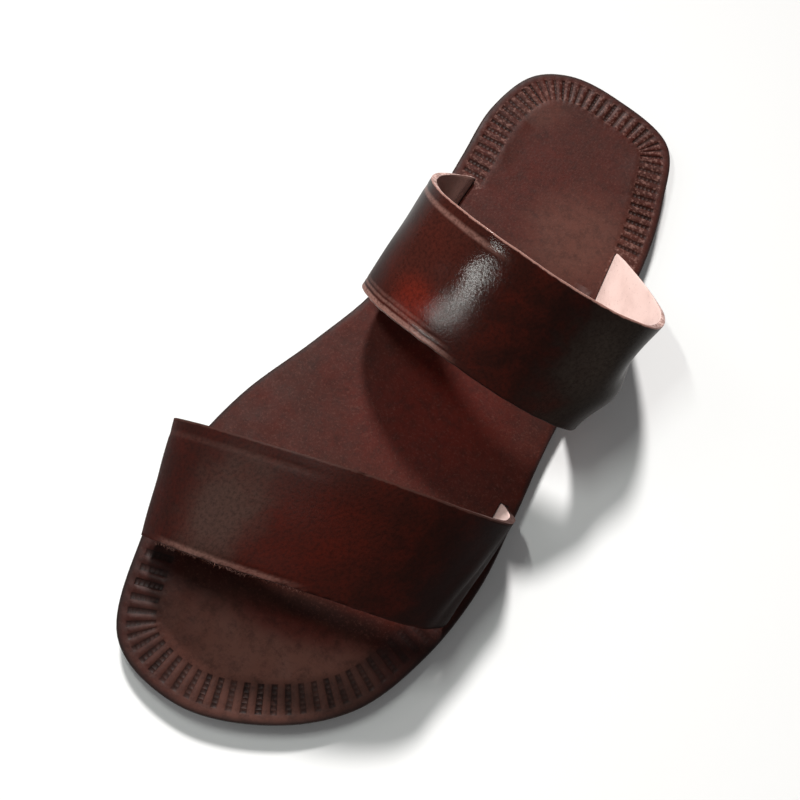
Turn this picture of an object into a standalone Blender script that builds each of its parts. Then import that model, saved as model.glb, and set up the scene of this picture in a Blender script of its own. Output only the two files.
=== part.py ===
"""Leather slide sandal for the left foot, with two wide straps.

Each strap is one flat leather band. Its ends go down through slits in the insole, turn inward and
lie in shallow pockets of the outsole, where they are glued. The sandal stands on its outsole at
height zero. +Y runs from heel to toe, +X to the inner side of the foot and +Z up. The origin is
under the middle of the sole.
"""

from math import cos, radians, sin
from typing import NamedTuple

import bmesh
import bpy
import numpy as np
from mathutils import Matrix, Vector

MM = 0.001

# Driving sizes, in millimetres
SOLE_LENGTH = 280.0
BALL_WIDTH = 108.0
OUTSOLE_THICKNESS = 5.0
INSOLE_THICKNESS = 3.2
STRAP_THICKNESS = 2.2
INSTEP_HEIGHT = 48.0
TOE_HEIGHT = 40.0
TAB_LENGTH = 12.0
SLIT_RISE = 1.5
GLUE_GAP = 0.3
OUTSOLE_EDGE_ROUND = 0.8
INSOLE_EDGE_ROUND = 0.6

# How finely the curves are followed
OUTLINE_STEPS = 6
RIM_STEPS = 16
STRAP_STRIPS = 6
EDGE_SEGMENTS = 2

PERCENT = 0.01


class OutlinePoint(NamedTuple):
    """A point of the sole's outline: across in percent of ball width, along in percent of length."""

    place: str
    across: float
    along: float


OUTLINE = (
    OutlinePoint("heel back", -1.4, -50.0),
    OutlinePoint("heel back inner", 16.7, -49.3),
    OutlinePoint("heel inner corner", 28.7, -45.9),
    OutlinePoint("heel inner side", 34.6, -38.2),
    OutlinePoint("shank inner rear", 33.5, -28.6),
    OutlinePoint("shank inner", 31.3, -16.1),
    OutlinePoint("shank inner front", 31.9, -5.0),
    OutlinePoint("ball inner rear", 38.9, 5.0),
    OutlinePoint("ball inner", 48.3, 16.1),
    OutlinePoint("big toe joint", 51.5, 26.4),
    OutlinePoint("big toe side", 47.5, 37.1),
    OutlinePoint("big toe corner", 35.8, 47.6),
    OutlinePoint("toe tip", 11.1, 50.0),
    OutlinePoint("second toe", -15.7, 46.4),
    OutlinePoint("middle toe", -34.7, 40.0),
    OutlinePoint("little toe", -44.4, 31.1),
    OutlinePoint("ball outer", -48.4, 20.7),
    OutlinePoint("ball outer rear", -46.8, 10.7),
    OutlinePoint("shank outer front", -44.2, 0.0),
    OutlinePoint("shank outer", -43.3, -14.3),
    OutlinePoint("heel outer side", -41.7, -29.3),
    OutlinePoint("heel outer rear", -36.6, -38.8),
    OutlinePoint("heel outer corner", -26.9, -47.7),
)


class Flank(NamedTuple):
    """How one end of a rim leaves its slit and reaches the crest.

    flare leans it away from the foot and lean towards the toe, in degrees. rise is a share of the
    crest's height and crown a share of the distance between the slits: the pull of each end.
    """

    flare: float
    lean: float
    rise: float
    crown: float


class Rim(NamedTuple):
    """One long edge of a strap, from the outer slit over the crest to the inner slit.

    Places are (across, along) in percent, as in the outline. height is a share of the strap's
    height, and turn is the crest's direction across the foot, in degrees towards the toe.
    """

    outer_slit: tuple
    inner_slit: tuple
    crest: tuple
    height: float
    turn: float
    outer: Flank
    inner: Flank


class Strap(NamedTuple):
    """A band between its rear rim and its front rim, at its height over the insole in millimetres."""

    name: str
    height: float
    rear: Rim
    front: Rim


STRAPS = (
    Strap(
        name="rear_strap",
        height=INSTEP_HEIGHT,
        rear=Rim(
            outer_slit=(-32.4, -27.9),
            inner_slit=(25.9, -26.4),
            crest=(-9.3, -11.1),
            height=1.0,
            turn=-4.0,
            outer=Flank(flare=53.0, lean=41.0, rise=1.30, crown=0.49),
            inner=Flank(flare=42.0, lean=51.0, rise=0.77, crown=0.46),
        ),
        front=Rim(
            outer_slit=(-38.0, -7.9),
            inner_slit=(26.4, -6.8),
            crest=(-4.6, 2.9),
            height=0.73,
            turn=-5.0,
            outer=Flank(flare=48.0, lean=39.0, rise=1.28, crown=0.43),
            inner=Flank(flare=38.0, lean=41.0, rise=0.91, crown=0.37),
        ),
    ),
    Strap(
        name="front_strap",
        height=TOE_HEIGHT,
        rear=Rim(
            outer_slit=(-41.7, 10.4),
            inner_slit=(45.0, 21.8),
            crest=(-1.9, 19.3),
            height=1.0,
            turn=15.0,
            outer=Flank(flare=31.0, lean=25.0, rise=0.65, crown=0.30),
            inner=Flank(flare=59.0, lean=19.0, rise=1.10, crown=0.29),
        ),
        front=Rim(
            outer_slit=(-42.4, 25.0),
            inner_slit=(42.4, 36.1),
            crest=(1.9, 33.6),
            height=0.83,
            turn=16.0,
            outer=Flank(flare=17.0, lean=37.0, rise=0.64, crown=0.28),
            inner=Flank(flare=27.0, lean=11.0, rise=0.76, crown=0.29),
        ),
    ),
)

# Colours are linear red, green and blue
LEATHER_DARK = (0.060, 0.017, 0.014)
LEATHER_BROWN = (0.110, 0.045, 0.034)
SOLE_BLACK = (0.012, 0.010, 0.010)


def insole_top():
    """Height of the insole's upper face."""
    return OUTSOLE_THICKNESS + GLUE_GAP + INSOLE_THICKNESS


def tab_height():
    """Height of the middle of a strap's glued tab, just under the insole."""
    return OUTSOLE_THICKNESS - STRAP_THICKNESS / 2.0


def on_sole(place, height):
    """Point in millimetres at a place given in percent of ball width and length."""
    across, along = place
    return np.array([across * PERCENT * BALL_WIDTH, along * PERCENT * SOLE_LENGTH, height])


def unit(vector):
    """Vector of length one."""
    return vector / np.linalg.norm(vector)


def between(first, second, share):
    """Point at a share of the way from first to second."""
    return first + (second - first) * share


def rounded_span(before, start, end, after, steps):
    """Points of a smooth curve from start up to end, which its neighbours before and after steer."""
    knots = [0.0]
    for near, far in ((before, start), (start, end), (end, after)):
        knots.append(knots[-1] + np.linalg.norm(far - near) ** 0.5)
    k0, k1, k2, k3 = knots
    points = []
    for step in range(steps):
        k = between(k1, k2, step / steps)
        low = between(before, start, (k - k0) / (k1 - k0))
        middle = between(start, end, (k - k1) / (k2 - k1))
        high = between(end, after, (k - k2) / (k3 - k2))
        rising = between(low, middle, (k - k0) / (k2 - k0))
        falling = between(middle, high, (k - k1) / (k3 - k1))
        points.append(between(rising, falling, (k - k1) / (k2 - k1)))
    return points


def outline_points():
    """Closed outline of the sole, counter-clockwise from above, in millimetres."""
    corners = [on_sole((point.across, point.along), 0.0) for point in OUTLINE]
    count = len(corners)
    points = []
    for index in range(count):
        points += rounded_span(
            corners[index - 1],
            corners[index],
            corners[(index + 1) % count],
            corners[(index + 2) % count],
            OUTLINE_STEPS,
        )
    return points


def cubic(start, start_pull, end_pull, end, steps):
    """Points of a cubic curve, from start to end, both included."""
    points = []
    for step in range(steps + 1):
        share = step / steps
        rest = 1.0 - share
        points.append(
            rest**3 * start
            + 3.0 * rest**2 * share * start_pull
            + 3.0 * rest * share**2 * end_pull
            + share**3 * end
        )
    return points


def flank_direction(flank, side):
    """Direction in which a rim leaves its slit, on the side that slit_ends describes."""
    flare = radians(flank.flare)
    return np.array([side * sin(flare), sin(radians(flank.lean)), cos(flare)])


def slit_foot(place):
    """Point where a rim comes out of its slit."""
    return on_sole(place, insole_top() + SLIT_RISE)


def rim_arch(strap, rim):
    """Points of a rim above the insole, from the outer slit to the inner slit."""
    outer = slit_foot(rim.outer_slit)
    inner = slit_foot(rim.inner_slit)
    crest = on_sole(rim.crest, insole_top() + strap.height * rim.height)
    span = np.linalg.norm(inner - outer)
    turn = radians(rim.turn)
    across = np.array([cos(turn), sin(turn), 0.0])
    climb = strap.height * rim.height
    outer_pull = outer + flank_direction(rim.outer, -1.0) * rim.outer.rise * climb
    inner_pull = inner + flank_direction(rim.inner, 1.0) * rim.inner.rise * climb
    crest_outer = crest - across * rim.outer.crown * span
    crest_inner = crest + across * rim.inner.crown * span
    up = cubic(outer, outer_pull, crest_outer, crest, RIM_STEPS)
    down = cubic(crest, crest_inner, inner_pull, inner, RIM_STEPS)
    return up + down[1:]


def slit_ends(strap, side):
    """Rear and front end of a strap's slit; side is -1 on the outer side and 1 on the inner."""
    if side < 0.0:
        return on_sole(strap.rear.outer_slit, 0.0), on_sole(strap.front.outer_slit, 0.0)
    return on_sole(strap.rear.inner_slit, 0.0), on_sole(strap.front.inner_slit, 0.0)


def slit_inward(strap, side):
    """Level direction at right angles to a strap's slit, towards the middle of the foot."""
    rear, front = slit_ends(strap, side)
    along = unit(front - rear)
    return -side * np.array([along[1], -along[0], 0.0])


def tab_points(strap, slit, side):
    """Tab end and the bend under the slit, from the inside of the sole outward and up."""
    bend = on_sole(slit, tab_height())
    return [bend + slit_inward(strap, side) * TAB_LENGTH, bend]


def rim_line(strap, rim):
    """Whole rim of a strap's middle surface, from one glued tab to the other."""
    start = tab_points(strap, rim.outer_slit, -1.0)
    end = tab_points(strap, rim.inner_slit, 1.0)
    return start + rim_arch(strap, rim) + end[::-1]


def add_material(name, colour, roughness):
    """Plain leather or rubber material."""
    material = bpy.data.materials.new(name)
    material.use_nodes = True
    shader = material.node_tree.nodes["Principled BSDF"]
    shader.inputs["Base Color"].default_value = (*colour, 1.0)
    shader.inputs["Roughness"].default_value = roughness
    shader.inputs["Metallic"].default_value = 0.0
    return material


def add_object(name, mesh_builder, material=None):
    """Object at the origin from a bmesh in millimetres."""
    mesh_builder.transform(Matrix.Scale(MM, 4))
    bmesh.ops.recalc_face_normals(mesh_builder, faces=mesh_builder.faces)
    mesh = bpy.data.meshes.new(name)
    mesh_builder.to_mesh(mesh)
    mesh_builder.free()
    if material is not None:
        mesh.materials.append(material)
    item = bpy.data.objects.new(name, mesh)
    bpy.context.scene.collection.objects.link(item)
    return item


def sole_slab(bottom, top, edge_round):
    """Slab with the sole's outline and rounded upper and lower edges."""
    slab = bmesh.new()
    ring = [slab.verts.new((point[0], point[1], bottom)) for point in outline_points()]
    face = slab.faces.new(ring)
    raised = bmesh.ops.extrude_face_region(slab, geom=[face])
    moved = [item for item in raised["geom"] if isinstance(item, bmesh.types.BMVert)]
    bmesh.ops.translate(slab, verts=moved, vec=(0.0, 0.0, top - bottom))
    level = [edge for edge in slab.edges if edge.verts[0].co.z == edge.verts[1].co.z]
    bmesh.ops.bevel(
        slab,
        geom=level,
        offset=edge_round,
        offset_type="OFFSET",
        segments=EDGE_SEGMENTS,
        profile=0.5,
        affect="EDGES",
        material=-1,
    )
    return slab


def slit_plan(strap, side):
    """Middle and direction of a strap's slit and its length, in millimetres."""
    rear, front = slit_ends(strap, side)
    return (rear + front) / 2.0, unit(front - rear), np.linalg.norm(front - rear)


def add_box_cutter(name, middle, along, size):
    """Box whose length lies along a level direction; it only cuts and doesn't render."""
    across = Vector((along[1], -along[0], 0.0))
    turn = Matrix((across, Vector(along), Vector((0.0, 0.0, 1.0)))).transposed().to_4x4()
    box = bmesh.new()
    bmesh.ops.create_cube(box, size=1.0)
    bmesh.ops.scale(box, vec=size, verts=box.verts)
    box.transform(Matrix.Translation(Vector(middle)) @ turn)
    cutter = add_object(name, box)
    cutter.hide_render = True
    cutter.display_type = "WIRE"
    return cutter


def cut(item, cutter):
    """Take the cutter's shape out of the item."""
    modifier = item.modifiers.new(cutter.name, "BOOLEAN")
    modifier.operation = "DIFFERENCE"
    modifier.solver = "EXACT"
    modifier.object = cutter


def cut_slit(insole, strap, side):
    """Slit through the insole for one end of a strap."""
    middle, along, length = slit_plan(strap, side)
    middle[2] = insole_top() - INSOLE_THICKNESS / 2.0
    size = (
        STRAP_THICKNESS + 2.0 * GLUE_GAP,
        length + 2.0 * GLUE_GAP,
        2.0 * INSOLE_THICKNESS,
    )
    cut(insole, add_box_cutter(f"slit_{strap.name}_{side:+.0f}", middle, along, size))


def cut_pocket(outsole, strap, side):
    """Pocket in the outsole's upper face for one glued tab."""
    middle, along, length = slit_plan(strap, side)
    inner_wall = TAB_LENGTH + GLUE_GAP
    outer_wall = STRAP_THICKNESS / 2.0 + GLUE_GAP
    depth = STRAP_THICKNESS + GLUE_GAP
    middle = middle + slit_inward(strap, side) * (inner_wall - outer_wall) / 2.0
    middle[2] = OUTSOLE_THICKNESS
    size = (inner_wall + outer_wall, length + 2.0 * GLUE_GAP, 2.0 * depth)
    cut(outsole, add_box_cutter(f"pocket_{strap.name}_{side:+.0f}", middle, along, size))


def add_outsole():
    """Flat outsole with four pockets for the straps' tabs."""
    material = add_material("sole_rubber", SOLE_BLACK, 0.7)
    slab = sole_slab(0.0, OUTSOLE_THICKNESS, OUTSOLE_EDGE_ROUND)
    outsole = add_object("outsole", slab, material)
    for strap in STRAPS:
        for side in (-1.0, 1.0):
            cut_pocket(outsole, strap, side)
    return outsole


def add_insole():
    """Leather insole with the outsole's outline and four slits for the straps."""
    material = add_material("insole_leather", LEATHER_BROWN, 0.5)
    slab = sole_slab(OUTSOLE_THICKNESS + GLUE_GAP, insole_top(), INSOLE_EDGE_ROUND)
    insole = add_object("insole", slab, material)
    for strap in STRAPS:
        for side in (-1.0, 1.0):
            cut_slit(insole, strap, side)
    return insole


def add_strap(strap, material):
    """Band of even thickness between its two rims, with both tabs."""
    rear = rim_line(strap, strap.rear)
    front = rim_line(strap, strap.front)
    band = bmesh.new()
    rows = []
    for rear_point, front_point in zip(rear, front):
        row = []
        for strip in range(STRAP_STRIPS + 1):
            point = between(rear_point, front_point, strip / STRAP_STRIPS)
            row.append(band.verts.new(point))
        rows.append(row)
    for low, high in zip(rows, rows[1:]):
        for strip in range(STRAP_STRIPS):
            band.faces.new((low[strip], low[strip + 1], high[strip + 1], high[strip]))
    item = add_object(strap.name, band, material)
    shell = item.modifiers.new("thickness", "SOLIDIFY")
    shell.thickness = STRAP_THICKNESS * MM
    shell.offset = 0.0
    shell.use_even_offset = True
    shell.use_rim = True
    return item


def clear_scene():
    """Remove what is in the scene."""
    for item in list(bpy.data.objects):
        bpy.data.objects.remove(item, do_unlink=True)


def build():
    """Make the sandal's four pieces."""
    clear_scene()
    add_outsole()
    add_insole()
    strap_leather = add_material("strap_leather", LEATHER_DARK, 0.35)
    for strap in STRAPS:
        add_strap(strap, strap_leather)


build()
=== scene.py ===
"""Dressed leather slide sandal for the left foot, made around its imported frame.

The sandal is an outsole, a leather insole with a pressed border, and two wide straps whose ends go
down through slits in the insole and lie glued in pockets of the outsole. Lengths are in metres and
in the frame's own axes: +Y from heel to toe, +X to the inner side of the foot, +Z up.
"""

import random
from bisect import bisect_right
from itertools import accumulate
from math import cos, exp, pi, radians, sin
from typing import NamedTuple

import bmesh
import bpy
from bpy.props import FloatProperty, FloatVectorProperty, IntProperty, PointerProperty
from mathutils import Matrix, Vector, kdtree, noise


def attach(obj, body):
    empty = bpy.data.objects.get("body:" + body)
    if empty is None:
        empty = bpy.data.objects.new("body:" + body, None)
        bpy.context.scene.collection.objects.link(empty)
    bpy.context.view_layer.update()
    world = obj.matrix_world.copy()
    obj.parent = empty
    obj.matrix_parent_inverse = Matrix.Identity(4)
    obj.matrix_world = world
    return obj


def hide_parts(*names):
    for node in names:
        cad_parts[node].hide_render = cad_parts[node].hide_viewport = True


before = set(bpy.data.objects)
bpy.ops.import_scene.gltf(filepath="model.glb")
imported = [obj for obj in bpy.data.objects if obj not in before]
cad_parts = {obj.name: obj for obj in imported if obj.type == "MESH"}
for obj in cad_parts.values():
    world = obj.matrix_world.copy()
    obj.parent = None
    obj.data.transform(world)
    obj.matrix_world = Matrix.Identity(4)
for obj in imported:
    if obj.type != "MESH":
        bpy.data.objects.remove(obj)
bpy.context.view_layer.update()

bl_info = {
    "name": "Leather sandal",
    "version": (1, 0, 0),
    "blender": (4, 5, 0),
    "location": "3D View > Sidebar > Sandal",
    "description": "Makes a slide sandal with two wide leather straps, piece by piece",
    "category": "Add Mesh",
}

MM = 0.001
PERCENT = 0.01
BODY = "root"

# The sole's outline, counter-clockwise from above: across in percent of the ball's width, along in
# percent of the length
OUTLINE = (
    ("heel back", -1.4, -50.0),
    ("heel back inner", 16.7, -49.3),
    ("heel inner corner", 28.7, -45.9),
    ("heel inner side", 34.6, -38.2),
    ("shank inner rear", 33.5, -28.6),
    ("shank inner", 31.3, -16.1),
    ("shank inner front", 31.9, -5.0),
    ("ball inner rear", 38.9, 5.0),
    ("ball inner", 48.3, 16.1),
    ("big toe joint", 51.5, 26.4),
    ("big toe side", 47.5, 37.1),
    ("big toe corner", 35.8, 47.6),
    ("toe tip", 11.1, 50.0),
    ("second toe", -15.7, 46.4),
    ("middle toe", -34.7, 40.0),
    ("little toe", -44.4, 31.1),
    ("ball outer", -48.4, 20.7),
    ("ball outer rear", -46.8, 10.7),
    ("shank outer front", -44.2, 0.0),
    ("shank outer", -43.3, -14.3),
    ("heel outer side", -41.7, -29.3),
    ("heel outer rear", -36.6, -38.8),
    ("heel outer corner", -26.9, -47.7),
)


class Flank(NamedTuple):
    """How one end of a rim leaves its slit and reaches the crest.

    flare leans it away from the foot and lean towards the toe, in degrees. rise is a share of the
    crest's height and crown a share of the distance between the slits: the pull of each end.
    """

    flare: float
    lean: float
    rise: float
    crown: float


class Rim(NamedTuple):
    """One long edge of a strap, from the outer slit over the crest to the inner slit.

    Places are (across, along) in percent, as in the outline. height is a share of the strap's
    height, and turn is the crest's direction across the foot, in degrees towards the toe.
    """

    outer_slit: tuple
    inner_slit: tuple
    crest: tuple
    height: float
    turn: float
    outer: Flank
    inner: Flank


class Groove(NamedTuple):
    """A line pressed along a strap, in millimetres.

    rear and front are its distances from those rims, whichever is not None. It runs between two
    places along the strap, counted from the crest towards the inner side, and fades at both. worn
    is how much of the pale undyed leather shows in it.
    """

    rear: float
    front: float
    start: float
    end: float
    width: float
    depth: float
    worn: float


class Fold(NamedTuple):
    """A soft trough (negative depth) or swelling on a strap, in millimetres and degrees.

    across is counted from the rear rim and along from the crest towards the inner side. turn is the
    direction of its length, from along the strap towards the front rim.
    """

    across: float
    along: float
    length: float
    width: float
    depth: float
    turn: float


class Patch(NamedTuple):
    """An oval where the dye or the surface differs, or where shade, light or sheen is painted, with a soft
    and ragged border.

    colour is a colour setting's name. On a strap, across is counted from the rear rim and along from
    the crest towards the inner side; on the insole they are the frame's X and Y. width and length
    reach from the middle to where it has faded out. All are millimetres, turn is in degrees, and
    share is how much of the colour shows in the middle.
    """

    colour: str
    across: float
    along: float
    width: float
    length: float
    turn: float
    share: float


# Each flank: flare, lean, rise, crown
REAR_STRAP_RIMS = (
    Rim(
        outer_slit=(-32.4, -27.9),
        inner_slit=(25.9, -26.4),
        crest=(-9.3, -11.1),
        height=1.0,
        turn=-4.0,
        outer=Flank(53.0, 41.0, 1.30, 0.49),
        inner=Flank(42.0, 51.0, 0.77, 0.46),
    ),
    Rim(
        outer_slit=(-38.0, -7.9),
        inner_slit=(26.4, -6.8),
        crest=(-4.6, 2.9),
        height=0.73,
        turn=-5.0,
        outer=Flank(48.0, 39.0, 1.28, 0.43),
        inner=Flank(38.0, 41.0, 0.91, 0.37),
    ),
)
FRONT_STRAP_RIMS = (
    Rim(
        outer_slit=(-41.7, 10.4),
        inner_slit=(45.0, 21.8),
        crest=(-1.9, 19.3),
        height=1.0,
        turn=15.0,
        outer=Flank(31.0, 25.0, 0.65, 0.30),
        inner=Flank(59.0, 19.0, 1.10, 0.29),
    ),
    Rim(
        outer_slit=(-42.4, 25.0),
        inner_slit=(42.4, 36.1),
        crest=(1.9, 33.6),
        height=0.83,
        turn=16.0,
        outer=Flank(17.0, 37.0, 0.64, 0.28),
        inner=Flank(27.0, 11.0, 0.76, 0.29),
    ),
)

# rear, front, start, end, width, depth, worn
REAR_STRAP_GROOVES = (
    Groove(4.6, None, 4.0, 68.0, 1.2, 0.14, 0.42),
    Groove(None, 1.2, -2.0, 66.0, 0.7, 0.10, 0.60),
    Groove(None, 3.1, 2.0, 64.0, 0.7, 0.16, 0.32),
    Groove(None, 4.8, 8.0, 60.0, 0.7, 0.08, 0.15),
)
FRONT_STRAP_GROOVES = (
    Groove(4.8, None, 6.0, 75.0, 1.2, 0.14, 0.05),
    Groove(None, 1.0, -8.0, 54.0, 1.3, 0.40, 0.28),
)
# across, along, length, width, depth, turn
REAR_STRAP_FOLDS = (
    Fold(17.0, -56.0, 32.0, 9.0, -2.5, 90.0),
    Fold(31.0, -58.0, 12.0, 10.0, 1.8, 90.0),
    Fold(47.0, -59.0, 20.0, 14.0, -4.0, 90.0),
    Fold(12.0, 52.0, 30.0, 6.0, -0.4, 80.0),
)
FRONT_STRAP_FOLDS = (
    Fold(22.0, -49.0, 40.0, 3.0, 0.50, 84.0),
    Fold(22.0, -54.5, 40.0, 3.0, -0.80, 84.0),
    Fold(26.0, 56.0, 28.0, 6.0, -0.4, 95.0),
)

# colour, across, along, width, length, turn, share
REAR_STRAP_PATCHES = (
    Patch("strap_red", 20.0, 34.0, 30.0, 24.0, 0.0, 0.25),
    Patch("strap_red", 33.0, 24.0, 9.0, 11.0, 0.0, 1.0),
    # Painted sheen: a faint grey bloom over the inner part of the rear strap
    Patch("strap_scuffed_and_painted_sheen", 16.0, 32.0, 34.0, 26.0, 0.0, 0.25),
    # Dark dye and painted shade over the outer flank, which turns from the light
    Patch("strap_black_and_painted_shade", 14.0, -40.0, 46.0, 40.0, 0.0, 0.92),
    Patch("strap_black_and_painted_shade", 16.0, 58.0, 60.0, 22.0, 0.0, 0.8),
    # Painted grey sheen on the outer flank
    Patch("strap_grey_painted_sheen", 14.0, -46.0, 40.0, 26.0, 0.0, 0.9),
)
FRONT_STRAP_PATCHES = (
    Patch("strap_red", 26.0, 6.0, 24.0, 26.0, 0.0, 0.15),
    # Dark dye and painted shade over the outer flank, which turns from the light
    Patch("strap_black_and_painted_shade", 20.0, -56.0, 60.0, 42.0, 0.0, 0.7),
    # Scuffing and a painted sheen on the inner part of the front strap
    Patch("strap_scuffed_and_painted_sheen", 24.0, 31.0, 24.0, 16.0, 0.0, 0.8),
)
INSOLE_PATCHES = (
    # Painted red bounce light in the shadow that the rear strap casts on the insole
    Patch("insole_red_and_painted_light", -8.0, 14.0, 34.0, 30.0, 0.0, 0.95),
    # These three patches paint light over the toe, inside the front strap's shadow
    Patch("insole_tan_and_painted_light", -10.0, 124.0, 50.0, 34.0, 0.0, 0.9),
    Patch("insole_tan_and_painted_light", 4.0, 112.0, 36.0, 14.0, 0.0, 0.6),
    Patch("insole_tan_and_painted_light", -16.0, 101.0, 30.0, 12.0, 0.0, 0.95),
    # Redder tone and painted light where the front strap's shadow falls on the toe
    Patch("insole_red_and_painted_light", -6.0, 100.0, 24.0, 7.0, 13.0, 0.7),
    # These two patches paint the shadow under the front strap's front rim
    Patch("insole_dark_and_painted_shade", 26.0, 101.0, 24.0, 10.0, 13.0, 0.5),
    Patch("insole_dark_and_painted_shade", -14.0, 92.0, 36.0, 5.5, 13.0, 0.9),
    Patch("insole_tan_and_painted_light", -18.0, -76.0, 26.0, 26.0, 0.0, 0.5),
    Patch("insole_tan_and_painted_light", 20.0, -118.0, 12.0, 12.0, 0.0, 0.3),
)

# How finely curves are followed
OUTLINE_STEPS = 24
RIM_STEPS = 44
STRAP_STATIONS = 34
EDGE_STEPS = 3
FIELD_CELL = 6.0 * MM
EDGE_PITCH = 4.0 * MM
SHARP_ANGLE = radians(50.0)

# Radii of the lower and the upper edge, and the glued joint between the two soles
OUTSOLE_ROUNDS = (0.8 * MM, 0.6 * MM)
INSOLE_ROUNDS = (0.3 * MM, 0.9 * MM)
INSOLE_GAP = 0.3 * MM

# Steps inwards and upwards from the underside's edge: a plain groove round it
UNDERSIDE_STEPS = ((5.0 * MM, 0.0), (0.5 * MM, -0.5 * MM), (1.2 * MM, 0.0), (0.5 * MM, 0.5 * MM))


def mix(first, second, share):
    """Value or point at a share of the way from first to second."""
    return first + (second - first) * share


def smooth_step(value, low, high):
    """Share from 0 at low to 1 at high, level at both ends."""
    share = min(1.0, max(0.0, (value - low) / (high - low)))
    return share * share * (3.0 - 2.0 * share)


def bell(value, width):
    """One at zero, falling softly to nothing beyond the width."""
    return exp(-((value / width) ** 2))


def running_lengths(points):
    """Distance of each point from the first, along the line."""
    return list(accumulate(((far - near).length for near, far in zip(points, points[1:])), initial=0.0))


# Sizes and colours that a user would change


def length_property(name, description, default):
    """Property for a length in metres."""
    return FloatProperty(name=name, description=description, default=default, min=0.0, unit="LENGTH")


def colour_property(name, description, default):
    """Property for a linear colour."""
    return FloatVectorProperty(
        name=name, description=description, default=default, size=3, min=0.0, max=1.0, subtype="COLOR"
    )


class SandalSizes(bpy.types.PropertyGroup):
    """Sizes of the sole, the straps and the pressed border."""

    length: length_property("Length", "From the back of the heel to the tip of the toe", 280.0 * MM)
    ball_width: length_property("Ball width", "Width that the outline is drawn to", 108.0 * MM)
    outsole: length_property("Outsole", "Thickness of the outsole", 5.0 * MM)
    insole: length_property("Insole", "Thickness of the insole", 3.2 * MM)
    strap: length_property("Strap", "Thickness of the strap leather", 2.2 * MM)
    instep: length_property("Instep height", "Crest of the rear strap over the insole", 48.0 * MM)
    toes: length_property("Toe height", "Crest of the front strap over the insole", 40.0 * MM)
    tab: length_property("Tab", "Length of a strap's glued end under the insole", 12.0 * MM)
    border_margin: length_property("Border margin", "From the edge to the pressed strokes", 3.0 * MM)
    border_width: length_property("Border width", "Length of a pressed stroke", 9.6 * MM)
    stroke_depth: length_property("Stroke depth", "Depth of a pressed stroke", 0.4 * MM)
    fray_count: IntProperty(name="Fray", description="Loose fibres on the front rim", default=260, min=0)


class SandalColours(bpy.types.PropertyGroup):
    """Colours of the leathers, the sole and the floor."""

    strap: colour_property("Strap", "Dyed strap leather", (0.024, 0.0050, 0.0032))
    strap_red: colour_property("Strap, red", "Where the dye is thin", (0.120, 0.0074, 0.0020))
    # Near-black dye in mottles, and also painted shade on the outer flanks that turn from the light
    strap_black_and_painted_shade: colour_property("Strap, black", "Where the dye is thick", (0.0045, 0.0020, 0.0016))
    # Scuffs and scratches, and also a painted sheen on the inner parts of both straps
    strap_scuffed_and_painted_sheen: colour_property("Strap, scuffed", "Where the strap is rubbed", (0.052, 0.027, 0.021))
    # A grey painted sheen on the rear strap's outer flank
    strap_grey_painted_sheen: colour_property("Strap, dusty", "Where dust dulls the strap", (0.028, 0.021, 0.017))
    flesh: colour_property("Flesh side", "Undyed inner side of the strap", (0.80, 0.58, 0.53))
    # Darker brown laid on the flesh side towards the straps' inner ends, and on the loose fibres
    flesh_brown: colour_property("Flesh side, stained", "Where a foot stained it", (0.13, 0.040, 0.025))
    raw_edge: colour_property("Cut edge", "Cut edge of the strap", (0.33, 0.17, 0.14))
    insole: colour_property("Insole", "Leather of the insole", (0.046, 0.0095, 0.0056))
    # Dark mottles and pressed strokes, and also painted shadow under the front strap's front rim
    insole_dark_and_painted_shade: colour_property("Insole, dark", "Where the insole is worn dark", (0.016, 0.0046, 0.0030))
    # Redder tone, and also painted light: red bounce light in the rear strap's shadow and light in the
    # front strap's shadow
    insole_red_and_painted_light: colour_property("Insole, red", "Where the insole is redder", (0.090, 0.0072, 0.0030))
    # Light flecks and heel patches, and also painted light over the toe where the front strap's shadow
    # falls
    insole_tan_and_painted_light: colour_property("Insole, tan", "Where the insole is rubbed light", (0.140, 0.053, 0.038))
    outsole: colour_property("Outsole", "Rubber of the outsole", (0.012, 0.010, 0.010))
    dust: colour_property("Dust", "Dust on the outsole", (0.05, 0.042, 0.038))
    floor: colour_property("Floor", "Pale floor", (0.90, 0.90, 0.90))
    floor_grey: colour_property("Floor, grey", "Faint clouds on the floor", (0.7, 0.7, 0.7))


# The sole's outline


def on_sole(sizes, place, height):
    """Point at a place given in percent of ball width and length."""
    across, along = place
    return Vector((across * PERCENT * sizes.ball_width, along * PERCENT * sizes.length, height))


def insole_top(sizes):
    """Height of the insole's upper face."""
    return sizes.outsole + INSOLE_GAP + sizes.insole


def rounded_span(before, start, end, after, steps):
    """Points of a smooth curve from start up to end, which its neighbours before and after steer."""
    knots = [0.0]
    for near, far in ((before, start), (start, end), (end, after)):
        knots.append(knots[-1] + (far - near).length ** 0.5)
    k0, k1, k2, k3 = knots
    points = []
    for step in range(steps):
        k = mix(k1, k2, step / steps)
        low = mix(before, start, (k - k0) / (k1 - k0))
        middle = mix(start, end, (k - k1) / (k2 - k1))
        high = mix(end, after, (k - k2) / (k3 - k2))
        rising = mix(low, middle, (k - k0) / (k2 - k0))
        falling = mix(middle, high, (k - k1) / (k3 - k1))
        points.append(mix(rising, falling, (k - k1) / (k2 - k1)))
    return points


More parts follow.
